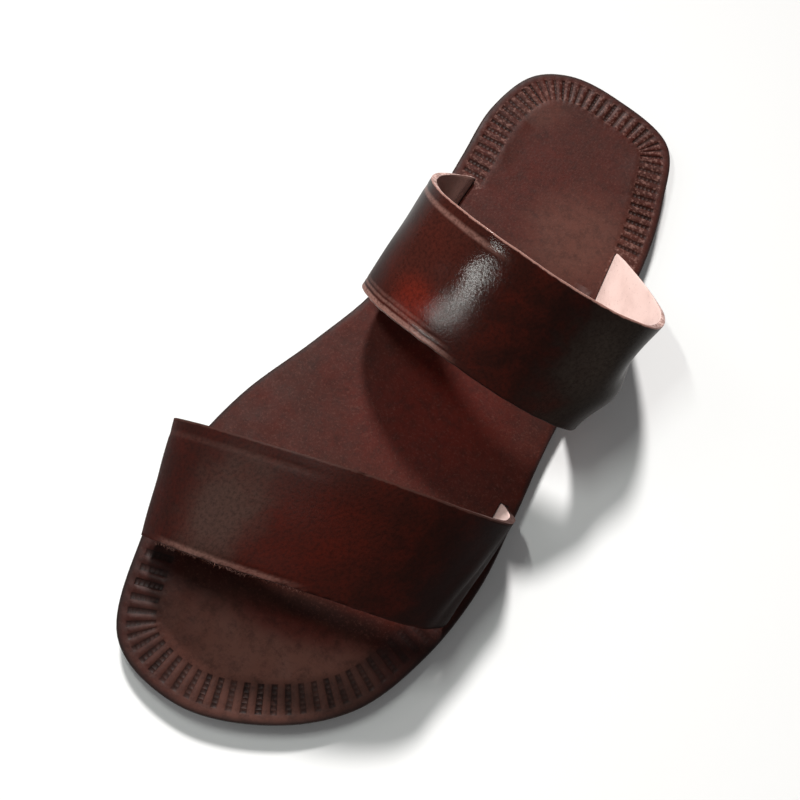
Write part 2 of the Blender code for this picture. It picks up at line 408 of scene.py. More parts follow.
class Outline:
    """The sole's closed outline, which gives the point at any distance round it."""

    def __init__(self, sizes):
        corners = [on_sole(sizes, (across, along), 0.0) for _, across, along in OUTLINE]
        count = len(corners)
        self.points = []
        for index in range(count):
            following = corners[(index + 1) % count], corners[(index + 2) % count]
            self.points += rounded_span(corners[index - 1], corners[index], *following, OUTLINE_STEPS)
        self.points.append(self.points[0])
        self.distances = running_lengths(self.points)
        self.length = self.distances[-1]

    def at(self, distance):
        """Point at a distance round the outline."""
        distance %= self.length
        high = min(bisect_right(self.distances, distance), len(self.distances) - 1)
        low = high - 1
        run = self.distances[high] - self.distances[low]
        return mix(self.points[low], self.points[high], (distance - self.distances[low]) / run)

    def nearest(self, point):
        """Distance round the outline of the place nearest to a point."""
        flat = Vector((point.x, point.y, 0.0))
        gaps = [(place - flat).length for place in self.points[:-1]]
        return self.distances[gaps.index(min(gaps))]


class Stroke(NamedTuple):
    """One pressed stroke: the outline side that it lies on and how strongly it is pressed."""

    side: int
    press: float


TOE_STROKE_PITCH = 5.0 * MM
TOE_STROKE_WIDTH = 2.6 * MM
HEEL_STROKE_PITCH = 4.2 * MM
HEEL_STROKE_WIDTH = 1.9 * MM
STROKE_TEETH = 6
TRAY_STEP = 0.25 * MM
TOOTH_STEP = 0.22 * MM
TRAY_SHARE = 0.6
TRAY_TONE = 0.85
FIELD_STEP = 2.0 * MM
# Room between a strap's slit and the first stroke
TOE_SLIT_ROOM = 1.0 * MM
HEEL_SLIT_ROOM = 2.0 * MM
# How deep strokes are pressed, and how they fade at the end of the toe's row: from where, and to what
PRESS_RANGE = (0.8, 1.1)
TOE_FADE_START = 0.72
TOE_FADE_LEFT = 0.45
BORDER_SEED = 11


def border_stations(sizes, outline):
    """Distances round the outline where the insole's rings have a point, and the strokes between."""
    toe_rim = FRONT_STRAP_RIMS[1]
    heel_rim = REAR_STRAP_RIMS[0]
    toe_start = outline.nearest(on_sole(sizes, toe_rim.inner_slit, 0.0)) + TOE_SLIT_ROOM
    toe_end = outline.nearest(on_sole(sizes, toe_rim.outer_slit, 0.0)) - TOE_SLIT_ROOM
    heel_start = outline.nearest(on_sole(sizes, heel_rim.outer_slit, 0.0)) + HEEL_SLIT_ROOM
    heel_end = outline.nearest(on_sole(sizes, heel_rim.inner_slit, 0.0)) - HEEL_SLIT_ROOM
    runs = (
        (toe_start, toe_end, TOE_STROKE_PITCH, TOE_STROKE_WIDTH),
        (toe_end, heel_start, EDGE_PITCH, None),
        (heel_start, outline.length + heel_end, HEEL_STROKE_PITCH, HEEL_STROKE_WIDTH),
        (outline.length + heel_end, outline.length + toe_start, EDGE_PITCH, None),
    )
    stations = []
    strokes = []
    draw = random.Random(BORDER_SEED)
    for start, end, pitch, width in runs:
        count = round((end - start) / pitch)
        step = (end - start) / count
        for index in range(count):
            stations.append(start + index * step)
            if width is None:
                continue
            share = (index + 0.5) / count
            stations.append(start + (index + 1) * step - width)
            faded = 1.0
            if pitch == TOE_STROKE_PITCH:
                faded = mix(1.0, TOE_FADE_LEFT, smooth_step(share, TOE_FADE_START, 1.0))
            strokes.append(Stroke(len(stations) - 1, faded * draw.uniform(*PRESS_RANGE)))
    return stations, strokes


# Mesh helpers


def step_in(mesh, face, ring, width, depth=0.0):
    """Inset a face by a width and lift it by a depth.

    The ring is the face's corners in order, which move in with it. Gives the faces left round it, in
    the ring's order.
    """
    bmesh.ops.inset_region(mesh, faces=[face], thickness=width, depth=depth, use_even_offset=True)
    around = []
    for vert, following in zip(ring, ring[1:] + ring[:1]):
        edge = next(item for item in vert.link_edges if item.other_vert(vert) == following)
        around.append(next(item for item in edge.link_faces if item != face))
    return around


def round_over(mesh, face, ring, radius):
    """Round the edge of a face with a quarter circle of a radius, which lifts the face by it."""
    for step in range(EDGE_STEPS):
        low = step / EDGE_STEPS * pi / 2.0
        high = (step + 1) / EDGE_STEPS * pi / 2.0
        step_in(mesh, face, ring, radius * (cos(low) - cos(high)), radius * (sin(high) - sin(low)))


def sole_layer(points, bottom, top, lower_round, upper_round):
    """Slab with an outline and rounded edges: its mesh, and the lower and upper face with their rings."""
    mesh = bmesh.new()
    mesh.verts.layers.float.new("inset")
    mesh.verts.layers.float.new("pressed")
    lower = [mesh.verts.new((point.x, point.y, bottom + lower_round)) for point in points]
    floor = mesh.faces.new(lower)
    raised = bmesh.ops.extrude_face_region(mesh, geom=[floor])
    roof = next(item for item in raised["geom"] if isinstance(item, bmesh.types.BMFace))
    moved = [item for item in raised["geom"] if isinstance(item, bmesh.types.BMVert)]
    bmesh.ops.translate(mesh, verts=moved, vec=(0.0, 0.0, top - upper_round - bottom - lower_round))
    bmesh.ops.recalc_face_normals(mesh, faces=mesh.faces)
    upper = []
    for vert in lower:
        upper.append(next(e.other_vert(vert) for e in vert.link_edges if e.other_vert(vert) in roof.verts))
    floor = next(face for face in mesh.faces if set(face.verts) == set(lower))
    round_over(mesh, floor, lower, lower_round)
    round_over(mesh, roof, upper, upper_round)
    return mesh, (floor, lower), (roof, upper)


def link_item(context, name, data, place=Matrix()):
    """Object of a mesh, light or camera, linked to the scene at a place."""
    item = bpy.data.objects.new(name, data)
    item.matrix_world = place
    context.scene.collection.objects.link(item)
    return item


def link_mesh(context, name, mesh, materials=()):
    """Object at the origin from a bmesh, which is freed."""
    data = bpy.data.meshes.new(name)
    mesh.to_mesh(data)
    mesh.free()
    for material in materials:
        data.materials.append(material)
    return link_item(context, name, data)


def add_piece(context, name, mesh, materials, slot, *nodes):
    """Smooth piece from a bmesh, which stands for CAD nodes and rides on the body."""
    item = link_mesh(context, name, mesh, materials)
    item.data.shade_smooth()
    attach(item, BODY)
    if nodes:
        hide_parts(*nodes)
    return item


def box_cutter(context, middle, along, size):
    """Box for cutting, whose length lies along a level direction."""
    across = Vector((along.y, -along.x, 0.0))
    turn = Matrix((across, along, Vector((0.0, 0.0, 1.0)))).transposed().to_4x4()
    box = bmesh.new()
    bmesh.ops.create_cube(box, size=1.0)
    bmesh.ops.scale(box, vec=size, verts=box.verts)
    bmesh.ops.transform(box, matrix=Matrix.Translation(middle) @ turn, verts=box.verts)
    return link_mesh(context, "cutter", box)


def cut_out(context, item, cutters):
    """Take boxes out of a piece for good, and remove the boxes."""
    for cutter in cutters:
        modifier = item.modifiers.new("cut", "BOOLEAN")
        modifier.operation = "DIFFERENCE"
        modifier.solver = "EXACT"
        modifier.object = cutter
    finished = item.evaluated_get(context.evaluated_depsgraph_get())
    data = bpy.data.meshes.new_from_object(finished)
    item.modifiers.clear()
    item.data = data
    for cutter in cutters:
        bpy.data.objects.remove(cutter, do_unlink=True)
    data.shade_smooth()
    data.set_sharp_from_angle(angle=SHARP_ANGLE)


# Straps


class Strap(NamedTuple):
    """A strap's name, height over the insole and tables.

    pale_rims is how much undyed leather shows on the rear and on the front rim, from 0 to 1.
    roughness is that of its glossiest and its dullest spots, and shine is its reflection's level.
    """

    name: str
    height: float
    rims: tuple
    grooves: tuple
    folds: tuple
    patches: tuple
    pale_rims: tuple
    roughness: tuple
    shine: float


def straps(sizes):
    """The two straps, rear one first."""
    rear = Strap(
        name="rear_strap",
        height=sizes.instep,
        rims=REAR_STRAP_RIMS,
        grooves=REAR_STRAP_GROOVES,
        folds=REAR_STRAP_FOLDS,
        patches=REAR_STRAP_PATCHES,
        pale_rims=(0.95, 0.6),
        roughness=(0.09, 0.165),
        shine=0.10,
    )
    front = Strap(
        name="front_strap",
        height=sizes.toes,
        rims=FRONT_STRAP_RIMS,
        grooves=FRONT_STRAP_GROOVES,
        folds=FRONT_STRAP_FOLDS,
        patches=FRONT_STRAP_PATCHES,
        pale_rims=(0.10, 0.0),
        roughness=(0.34, 0.46),
        shine=0.07,
    )
    return rear, front


# A rim starts its arch this high over the insole, and moves freely from there up
SLIT_RISE = 1.5 * MM
FREE_RISE = 8.0 * MM
# Waves of the rear and of the front rim: how many to a millimetre, and their height in millimetres
RIM_WAVES = ((0.12, 0.18), (0.24, 0.24))
# Unevenness of a strap's face: waves to a millimetre along and across, and their height
FACE_WAVE = (0.045, 0.06, 0.5)
# How far a groove takes to begin and to end, in millimetres
GROOVE_BEGIN = 14.0
GROOVE_END = 10.0
# Lines of points over a groove, as shares of its reach, and the least distance between lines, in
# millimetres
GROOVE_LINES = (-1.0, -0.5, 0.0, 0.5, 1.0)
GROOVE_REACH = 1.6
LEAST_STEP = 0.25
# Names under which a strap's points keep their distances from both rims, in millimetres
RIM_GAPS = ("rear_gap", "front_gap")


def slit_ends(sizes, strap, side):
    """Rear and front end of a strap's slit; side is -1 on the outer side and 1 on the inner."""
    places = [rim.outer_slit if side < 0.0 else rim.inner_slit for rim in strap.rims]
    return [on_sole(sizes, place, 0.0) for place in places]


def slit_inward(sizes, strap, side):
    """Level direction at right angles to a strap's slit, towards the middle of the foot."""
    rear, front = slit_ends(sizes, strap, side)
    along = (front - rear).normalized()
    return -side * Vector((along.y, -along.x, 0.0))


def cubic(start, start_pull, end_pull, end, steps):
    """Points of a cubic curve, from start to end, both included."""
    points = []
    for step in range(steps + 1):
        share = step / steps
        rest = 1.0 - share
        first = rest**3 * start + 3.0 * rest**2 * share * start_pull
        points.append(first + 3.0 * rest * share**2 * end_pull + share**3 * end)
    return points


def flank_direction(flank, side):
    """Direction in which a rim leaves its slit."""
    flare = radians(flank.flare)
    return Vector((side * sin(flare), sin(radians(flank.lean)), cos(flare)))


def rim_arch(sizes, strap, rim):
    """Points of a rim above the insole, from the outer slit to the inner slit."""
    foot = insole_top(sizes) + SLIT_RISE
    outer = on_sole(sizes, rim.outer_slit, foot)
    inner = on_sole(sizes, rim.inner_slit, foot)
    climb = strap.height * rim.height
    crest = on_sole(sizes, rim.crest, insole_top(sizes) + climb)
    span = (inner - outer).length
    turn = radians(rim.turn)
    across = Vector((cos(turn), sin(turn), 0.0))
    outer_pull = outer + flank_direction(rim.outer, -1.0) * rim.outer.rise * climb
    inner_pull = inner + flank_direction(rim.inner, 1.0) * rim.inner.rise * climb
    up = cubic(outer, outer_pull, crest - across * rim.outer.crown * span, crest, RIM_STEPS)
    down = cubic(crest, crest + across * rim.inner.crown * span, inner_pull, inner, RIM_STEPS)
    return up + down[1:]


def rim_line(sizes, strap, rim):
    """Whole rim of a strap's middle surface, from one glued tab to the other."""
    tab_height = sizes.outsole - sizes.strap / 2.0
    line = rim_arch(sizes, strap, rim)
    for side, slit in ((-1.0, rim.outer_slit), (1.0, rim.inner_slit)):
        bend = on_sole(sizes, slit, tab_height)
        tab = [bend + slit_inward(sizes, strap, side) * sizes.tab, bend]
        if side < 0.0:
            line = tab + line
        else:
            line = line + tab[::-1]
    return line


class StrapSurface:
    """The middle surface of a strap, by rows along it and a share across it."""

    def __init__(self, sizes, strap):
        self.strap = strap
        self.rear = rim_line(sizes, strap, strap.rims[0])
        self.front = rim_line(sizes, strap, strap.rims[1])
        middle = [mix(rear, front, 0.5) for rear, front in zip(self.rear, self.front)]
        crest = len(middle) // 2
        lengths = running_lengths(middle)
        self.along = [(length - lengths[crest]) / MM for length in lengths]
        self.rows = len(middle)
        self.slit_height = insole_top(sizes) + SLIT_RISE

    def width(self, row):
        """Width of the strap at a row, in millimetres."""
        return (self.front[row] - self.rear[row]).length / MM

    def point(self, row, share):
        """Point of the plain surface."""
        return mix(self.rear[row], self.front[row], share)

    def normal(self, row, share):
        """Direction out of the grain side."""
        low = max(row - 1, 0)
        high = min(row + 1, self.rows - 1)
        forward = self.point(high, share) - self.point(low, share)
        across = self.front[row] - self.rear[row]
        return forward.cross(across).normalized()

    def shaped(self, row, share):
        """Point of the surface with its grooves, folds and uneven rims."""
        along = self.along[row]
        width = self.width(row)
        across = share * width
        seed = 7.0 * len(self.strap.name)
        (rear_rate, rear_height), (front_rate, front_height) = RIM_WAVES
        rear_wave = noise.noise(Vector((along * rear_rate, seed, 0.0))) * rear_height
        front_wave = noise.noise(Vector((along * front_rate, seed, 5.0))) * front_height
        moved = share + (rear_wave * (1.0 - share) + front_wave * share) / width
        along_rate, across_rate, height = FACE_WAVE
        lift = noise.noise(Vector((along * along_rate, across * across_rate, seed))) * height
        for groove in self.strap.grooves:
            place = across - groove.rear if groove.rear is not None else across - (width - groove.front)
            run = smooth_step(along, groove.start, groove.start + GROOVE_BEGIN)
            run *= 1.0 - smooth_step(along, groove.end - GROOVE_END, groove.end)
            lift -= groove.depth * bell(place, groove.width) * run
        for fold in self.strap.folds:
            turn = radians(fold.turn)
            east = along - fold.along
            north = across - fold.across
            long_way = east * cos(turn) + north * sin(turn)
            short_way = north * cos(turn) - east * sin(turn)
            lift += fold.depth * bell(short_way, fold.width) * bell(long_way, fold.length / 2.0)
        plain = self.point(row, share)
        free = smooth_step(plain.z, self.slit_height, self.slit_height + FREE_RISE)
        uneven = self.point(row, moved) + self.normal(row, share) * lift * MM
        return mix(plain, uneven, free)


def strap_stations(surface):
    """Shares across a strap where its mesh has a line of points, closer at grooves and rims."""
    width = surface.width(surface.rows // 2)
    shares = [step / STRAP_STATIONS for step in range(STRAP_STATIONS + 1)]
    for groove in surface.strap.grooves:
        place = groove.rear if groove.rear is not None else width - groove.front
        for line in GROOVE_LINES:
            shares.append((place + line * groove.width * GROOVE_REACH) / width)
    shares.sort()
    kept = [shares[0]]
    for share in shares[1:]:
        if share - kept[-1] > LEAST_STEP / width:
            kept.append(share)
    kept[-1] = 1.0
    return kept


def strap_mesh(sizes, strap):
    """Flat grid bent into the strap's arch, with a UV map in millimetres of leather."""
    surface = StrapSurface(sizes, strap)
    shares = strap_stations(surface)
    band = bmesh.new()
    columns = len(shares) - 1
    rows = surface.rows - 1
    bmesh.ops.create_grid(band, x_segments=columns, y_segments=rows, size=0.5)
    uv_layer = band.loops.layers.uv.new("leather")
    rear_gap, front_gap = [band.verts.layers.float.new(name) for name in RIM_GAPS]
    place_of = {}
    for vert in band.verts:
        column = round((vert.co.x + 0.5) * columns)
        row = round((vert.co.y + 0.5) * rows)
        place_of[vert] = row, shares[column]
    for vert, (row, share) in place_of.items():
        vert.co = surface.shaped(row, share)
        vert[rear_gap] = share * surface.width(row)
        vert[front_gap] = (1.0 - share) * surface.width(row)
    for face in band.faces:
        for loop in face.loops:
            row, share = place_of[loop.vert]
            loop[uv_layer].uv = (share * surface.width(row), surface.along[row])
    crest = max(band.faces, key=lambda face: face.calc_center_median().z)
    crest.normal_update()
    if crest.normal.z < 0.0:
        bmesh.ops.reverse_faces(band, faces=band.faces)
    return band


# Materials

# How far a patch's border wanders, and where in it the colour begins and is full
PATCH_RAGGEDNESS = 0.7
PATCH_FADE = (1.15, 0.25)
# Where along a strap its front rim gets rubbed, and how far in from a rim it is, in millimetres
RUBBED_FROM = (-4.0, 18.0)
RUBBED_RIM = (1.3, 0.8)
# Where along the insole the heel's border gets painted glints, and where the toe's is darkened
HEEL_PAINTED_GLINTS = (-60.0 * MM, -76.0 * MM)
TOE_DARKENED = (60.0 * MM, 84.0 * MM)


class Finish:
    """A material being made, with its colour so far and short ways to add and join its nodes."""

    def __init__(self, name, colour):
        self.material = bpy.data.materials.new(name)
        self.material.use_nodes = True
        self.tree = self.material.node_tree
        self.shader = self.tree.nodes["Principled BSDF"]
        self.colour = colour

    def plug(self, value, socket):
        """Join a node's output to a socket, or set the socket's own value."""
        if isinstance(value, bpy.types.NodeSocket):
            self.tree.links.new(value, socket)
        elif socket.type == "RGBA":
            socket.default_value = (*value, 1.0)
        else:
            socket.default_value = value

    def add(self, kind, inputs=(), **settings):
        """New node with its settings and inputs, which are named or numbered."""
        node = self.tree.nodes.new(kind)
        for key, value in settings.items():
            setattr(node, key, value)
        for key, value in dict(inputs).items():
            self.plug(value, node.inputs[key])
        return node

    def set(self, **values):
        """Plug values into the shader; underscores stand for spaces."""
        for key, value in values.items():
            self.plug(value, self.shader.inputs[key.replace("_", " ")])

    def finished(self, **values):
        """The material, with its colour and its last values plugged in."""
        self.set(Base_Color=self.colour, **values)
        return self.material

    def object_place(self):
        """Coordinates of the piece, in metres."""
        return self.add("ShaderNodeTexCoord").outputs["Object"]

    def leather_place(self):
        """Coordinates on the strap, in millimetres."""
        return self.add("ShaderNodeUVMap", uv_map="leather").outputs["UV"]

    def lengthwise(self, place):
        """How far a place lies along the sandal, or along the strap."""
        return self.add("ShaderNodeSeparateXYZ", {"Vector": place}).outputs["Y"]

    def attribute(self, name):
        """Value kept on the mesh under a name."""
        return self.add("ShaderNodeAttribute", attribute_name=name).outputs["Fac"]

    def moved(self, place, middle=(0.0, 0.0, 0.0), turn=0.0, stretch=(1.0, 1.0, 1.0)):
        """Place measured from a middle, turned and stretched."""
        inputs = {"Vector": place, "Location": middle, "Rotation": (0.0, 0.0, turn), "Scale": stretch}
        return self.add("ShaderNodeMapping", inputs, vector_type="TEXTURE").outputs["Vector"]

    def cloud(self, place, scale, detail=3.0, rough=0.5, distort=0.0):
        """Noise around a half."""
        inputs = {"Vector": place, "Scale": scale, "Detail": detail, "Roughness": rough}
        return self.add("ShaderNodeTexNoise", {**inputs, "Distortion": distort}).outputs["Fac"]

    def cells(self, place, scale, feature="F1"):
        """Distance in a pattern of cells."""
        inputs = {"Vector": place, "Scale": scale}
        return self.add("ShaderNodeTexVoronoi", inputs, feature=feature).outputs["Distance"]

    def spread(self, value, low, high, start=0.0, end=1.0):
        """Value between low and high, eased to between start and end."""
        inputs = {"Value": value, "From Min": low, "From Max": high, "To Min": start, "To Max": end}
        return self.add("ShaderNodeMapRange", inputs, interpolation_type="SMOOTHSTEP").outputs["Result"]

    def blotches(self, place, kind, between, to=(0.0, 1.0)):
        """Cloud of a kind (scale, detail, roughness), eased from two of its values to two shares."""
        return self.spread(self.cloud(place, *kind), *between, *to)

    def maths(self, operation, first, *others):
        """Result of an operation on values, from the first to the last."""
        for other in others:
            first = self.add("ShaderNodeMath", {0: first, 1: other}, operation=operation).outputs["Value"]
        return first

    def total(self, *values):
        """Sum of values."""
        return self.maths("ADD", *values)

    def product(self, *values):
        """Product of values."""
        return self.maths("MULTIPLY", *values)

    def cover(self, share, colour):
        """Lay a colour over the colour so far, by a share."""
        self.colour = self.blend(share, self.colour, colour)

    def blend(self, share, under, over):
        """Colour between two colours."""
        node = self.add("ShaderNodeMix", data_type="RGBA")
        sockets = {socket.identifier: socket for socket in [*node.inputs, *node.outputs]}
        self.plug(share, sockets["Factor_Float"])
        self.plug(under, sockets["A_Color"])
        self.plug(over, sockets["B_Color"])
        return sockets["Result_Color"]

    def bump(self, height, distance, strength=1.0, under=None):
        """Normal of a relief, over another one."""
        inputs = {"Height": height, "Distance": distance, "Strength": strength}
        if under is not None:
            inputs["Normal"] = under
        return self.add("ShaderNodeBump", inputs).outputs["Normal"]

    def oval(self, place, patch, ragged, unit):
        """Share from 0 outside a patch to its own share in it, with a ragged border."""
        middle = (patch.across * unit, patch.along * unit, 0.0)
        stretch = (patch.width * unit, patch.length * unit, 1.0)
        local = self.moved(place, middle, radians(patch.turn), stretch)
        flat = self.add("ShaderNodeVectorMath", {0: local, 1: (1.0, 1.0, 0.0)}, operation="MULTIPLY")
        span = self.add("ShaderNodeVectorMath", {0: flat.outputs[0]}, operation="LENGTH").outputs["Value"]
        uneven = self.total(span, self.product(self.maths("SUBTRACT", ragged, 0.5), PATCH_RAGGEDNESS))
        return self.spread(uneven, *PATCH_FADE, 0.0, patch.share)

    def cover_patches(self, place, patches, colours, ragged, unit):
        """Lay a table of patches over the colour so far."""
        for patch in patches:
            self.cover(self.oval(place, patch, ragged, unit), getattr(colours, patch.colour))


def worn_line(finish, along, groove):
    """Share of worn leather in a pressed line of a strap."""
    name, distance = (RIM_GAPS[0], groove.rear) if groove.rear is not None else (RIM_GAPS[1], groove.front)
    gap = finish.maths("ABSOLUTE", finish.maths("SUBTRACT", finish.attribute(name), distance), 0.0)
    line = finish.spread(gap, groove.width * 1.3, groove.width * 0.3, 0.0, groove.worn)
    begun = finish.spread(along, groove.start, groove.start + 16.0)
    left = finish.spread(along, groove.end, groove.end - 14.0)
    return finish.product(line, finish.product(begun, left))


def worn_rims(finish, place, along, strap, colours):
    """Lay undyed leather over both rims of a strap, on the front one from its crest inwards."""
    uneven = finish.product(finish.cloud(place, 0.5), 0.8)
    rear_pale, front_pale = strap.pale_rims
    shares = rear_pale, finish.product(finish.spread(along, *RUBBED_FROM), front_pale)
    for name, pale in zip(RIM_GAPS, shares):
        gap = finish.total(finish.attribute(name), uneven)
        finish.cover(finish.product(finish.spread(gap, *RUBBED_RIM), pale), colours.raw_edge)


def strap_roughness(finish, place, along, nick, strap):
    """Roughness of a strap's grain: cloudy, and duller at both sides, at the front and in nicks."""
    gloss = finish.blotches(place, (0.9, 6.0, 0.85), (0.35, 0.65), strap.roughness)
    outer_dull = finish.spread(along, -24.0, -50.0, 0.0, 0.22)
    inner_dull = finish.spread(along, 30.0, 44.0, 0.0, 0.25)
    front_dull = finish.spread(finish.attribute(RIM_GAPS[0]), 14.0, 38.0, 0.0, 0.10)
    return finish.total(gloss, finish.total(outer_dull, inner_dull, front_dull, finish.product(nick, 0.25)))


def strap_grain(strap, colours):
    """Polished dyed grain side of a strap, on its leather's millimetres."""
    finish = Finish(f"{strap.name}_grain", colours.strap)
    place = finish.leather_place()
    along = finish.lengthwise(place)
    ragged = finish.cloud(place, 0.11, 5.0, 0.6, 0.4)
    finish.cover(finish.spread(ragged, 0.38, 0.72, 0.0, 0.14), colours.strap_red)
    # The patches lay dye, painted sheen and painted shade
    finish.cover_patches(place, strap.patches, colours, ragged, 1.0)
    mottle = finish.blotches(place, (0.8, 6.0, 0.8), (0.42, 0.64), (0.0, 0.5))
    finish.cover(mottle, colours.strap_black_and_painted_shade)
    brushed = finish.moved(place, turn=0.5, stretch=(3.5, 0.35, 1.0))
    nick = finish.blotches(brushed, (0.9, 6.0, 0.75), (0.66, 0.76), (0.0, 0.35))
    finish.cover(nick, colours.strap_scuffed_and_painted_sheen)
    patchy = finish.blotches(place, (0.7, 4.0, 0.7), (0.3, 0.6), (0.3, 1.0))
    for groove in strap.grooves:
        finish.cover(finish.product(worn_line(finish, along, groove), patchy), colours.raw_edge)
    worn_rims(finish, place, along, strap, colours)
    pores = finish.bump(finish.cells(place, 1.4, "SMOOTH_F1"), 0.08 * MM, 0.27)
    creased = finish.bump(finish.cloud(place, 1.1, 6.0, 0.7), 0.10 * MM, 0.25, pores)
    return finish.finished(
        Roughness=strap_roughness(finish, place, along, nick, strap),
        Specular_IOR_Level=strap.shine,
        Normal=finish.bump(nick, -0.12 * MM, 0.4, creased),
    )


def strap_flesh(colours):
    """Undyed flesh side of the straps, pale at the outer ends and darker brown towards the inner ones."""
    finish = Finish("strap_flesh", colours.flesh)
    place = finish.leather_place()
    finish.cover(finish.blotches(place, (0.09, 4.0, 0.6), (0.4, 0.75), (0.0, 0.25)), colours.raw_edge)
    browned = finish.spread(finish.lengthwise(place), 8.0, 34.0, 0.0, 0.92)
    finish.cover(browned, colours.flesh_brown)
    specks = finish.blotches(place, (0.9, 5.0, 0.8), (0.57, 0.68), (0.0, 0.6))
    finish.cover(specks, colours.raw_edge)
    nap = finish.bump(finish.cloud(place, 2.2, 6.0, 0.8), 0.30 * MM, 0.5)
    return finish.finished(Roughness=0.9, Specular_IOR_Level=0.15, Sheen_Weight=0.15, Normal=nap)


def strap_edge(strap, colours):
    """Cut edge of a strap, with the fibres showing where the dye is rubbed off."""
    finish = Finish(f"{strap.name}_edge", colours.strap)
    place = finish.object_place()
    fibres = finish.cloud(place, 900.0, 4.0, 0.7)
    pale = finish.blend(finish.spread(fibres, 0.35, 0.65), colours.raw_edge, colours.flesh)
    rear, front = strap.pale_rims
    front = finish.spread(finish.lengthwise(finish.leather_place()), *RUBBED_FROM, 0.0, front)
    at_front = finish.spread(finish.attribute(RIM_GAPS[0]), 10.0, 20.0)
    rubbed = finish.total(rear, finish.product(at_front, finish.maths("SUBTRACT", front, rear)))
    worn = finish.blotches(place, (120.0, 4.0, 0.6), (0.40, 0.66), (1.0, 0.5))
    finish.cover(finish.product(rubbed, worn), pale)
    nap = finish.bump(fibres, 0.2 * MM, 0.7)
    return finish.finished(Roughness=0.8, Specular_IOR_Level=0.2, Normal=nap)


def fray_finish(colours):
    """Light brown leather fibres."""
    finish = Finish("strap_fibres", colours.raw_edge)
    finish.cover(finish.blotches(finish.object_place(), (400.0,), (0.4, 0.6)), colours.flesh_brown)
    return finish.finished(Roughness=0.85, Specular_IOR_Level=0.2)


def insole_leather(colours):
    """Satin leather of the insole, darker in the strokes and at the burnished edge, with painted shadow
    under the front strap, painted light in the straps' shadows and painted glints on the heel's border.
    """
    finish = Finish("insole_leather", colours.insole)
    place = finish.object_place()
    along = finish.lengthwise(place)
    inset = finish.attribute("inset")
    pressed = finish.attribute("pressed")
    ragged = finish.cloud(place, 38.0, 5.0, 0.6, 0.3)
    finish.cover(finish.spread(ragged, 0.35, 0.7, 0.0, 0.4), colours.insole_red_and_painted_light)
    # The patches lay tone, painted shadow and painted light
    finish.cover_patches(place, INSOLE_PATCHES, colours, ragged, MM)
    mottle = finish.blotches(place, (260.0, 6.0, 0.8), (0.42, 0.68), (0.0, 0.48))
    finish.cover(mottle, colours.insole_dark_and_painted_shade)
    flecks = finish.blotches(place, (1100.0, 4.0, 0.8), (0.5, 0.72), (0.0, 0.4))
    finish.cover(flecks, colours.insole_tan_and_painted_light)
    blotted = finish.blotches(place, (650.0, 3.0, 0.7), (0.35, 0.6), (0.5, 0.92))
    finish.cover(finish.product(pressed, blotted), colours.insole_dark_and_painted_shade)
    # Painted glints: pale undyed colour on the lands between the heel's strokes, where their highlights
    # would be
    border = finish.product(finish.spread(inset, 2.0, 3.4), finish.spread(inset, 13.4, 12.0))
    lands = finish.product(border, finish.maths("SUBTRACT", 1.0, pressed))
    heel = finish.spread(along, *HEEL_PAINTED_GLINTS, 0.0, 0.42)
    rubbed = finish.blotches(place, (600.0, 3.0, 0.7), (0.48, 0.66))
    finish.cover(finish.product(lands, heel, rubbed), colours.raw_edge)
    border = finish.spread(inset, 15.0, 11.0, 0.0, 0.42)
    finish.cover(finish.product(border, finish.spread(along, *TOE_DARKENED)), colours.outsole)
    burnish = finish.spread(inset, 2.2, 0.3, 0.0, 0.7)
    finish.cover(burnish, colours.outsole)
    pores = finish.bump(finish.cells(place, 1000.0, "SMOOTH_F1"), 0.10 * MM, 0.35)
    return finish.finished(
        Roughness=finish.blotches(place, (150.0, 4.0, 0.6), (0.3, 0.7), (0.45, 0.62)),
        Specular_IOR_Level=0.14,
        Normal=finish.bump(finish.cloud(place, 400.0, 6.0, 0.7), 0.18 * MM, 0.35, pores),
    )


def sole_rubber(colours):
    """Matt black rubber of the outsole, with a little dust."""
    finish = Finish("sole_rubber", colours.outsole)
    place = finish.object_place()
    dust = finish.blotches(place, (90.0, 5.0, 0.65), (0.5, 0.8), (0.0, 0.35))
    finish.cover(dust, colours.dust)
    pebble = finish.bump(finish.cells(place, 700.0), 0.12 * MM, 0.4)
    roughness = finish.spread(dust, 0.0, 0.35, 0.6, 0.8)
    return finish.finished(Roughness=roughness, Specular_IOR_Level=0.35, Normal=pebble)


def floor_finish(colours):
    """Plain pale floor."""
    finish = Finish("floor", colours.floor)
    clouds = finish.blotches(finish.object_place(), (3.0,), (0.3, 0.7), (0.0, 0.03))
    finish.cover(clouds, colours.floor_grey)
    return finish.finished(Roughness=0.7, Specular_IOR_Level=0.2)


# Operators, one for each piece or pair of like pieces


class SANDAL_OT_outsole(bpy.types.Operator):
    """Make the flat rubber outsole"""

    bl_idname = "sandal.make_outsole"
    bl_label = "Outsole"

    def execute(self, context):
        sizes = context.scene.sandal_sizes
        outline = Outline(sizes)
        count = round(outline.length / EDGE_PITCH)
        points = [outline.at(outline.length * index / count) for index in range(count)]
        mesh, (underside, ring), _ = sole_layer(points, 0.0, sizes.outsole, *OUTSOLE_ROUNDS)
        for width, depth in UNDERSIDE_STEPS:
            step_in(mesh, underside, ring, width, depth)
        material = sole_rubber(context.scene.sandal_colours)
        item = add_piece(context, "outsole_rubber", mesh, [material], "sole_rubber", "outsole")
        cut_out(context, item, pocket_cutters(context, sizes))
        return {"FINISHED"}


def slits(sizes):
    """Each slit's middle, direction from rear to front, length, and direction towards the foot."""
    for strap in straps(sizes):
        for side in (-1.0, 1.0):
            rear, front = slit_ends(sizes, strap, side)
            span = front - rear
            yield (rear + front) / 2.0, span.normalized(), span.length, slit_inward(sizes, strap, side)


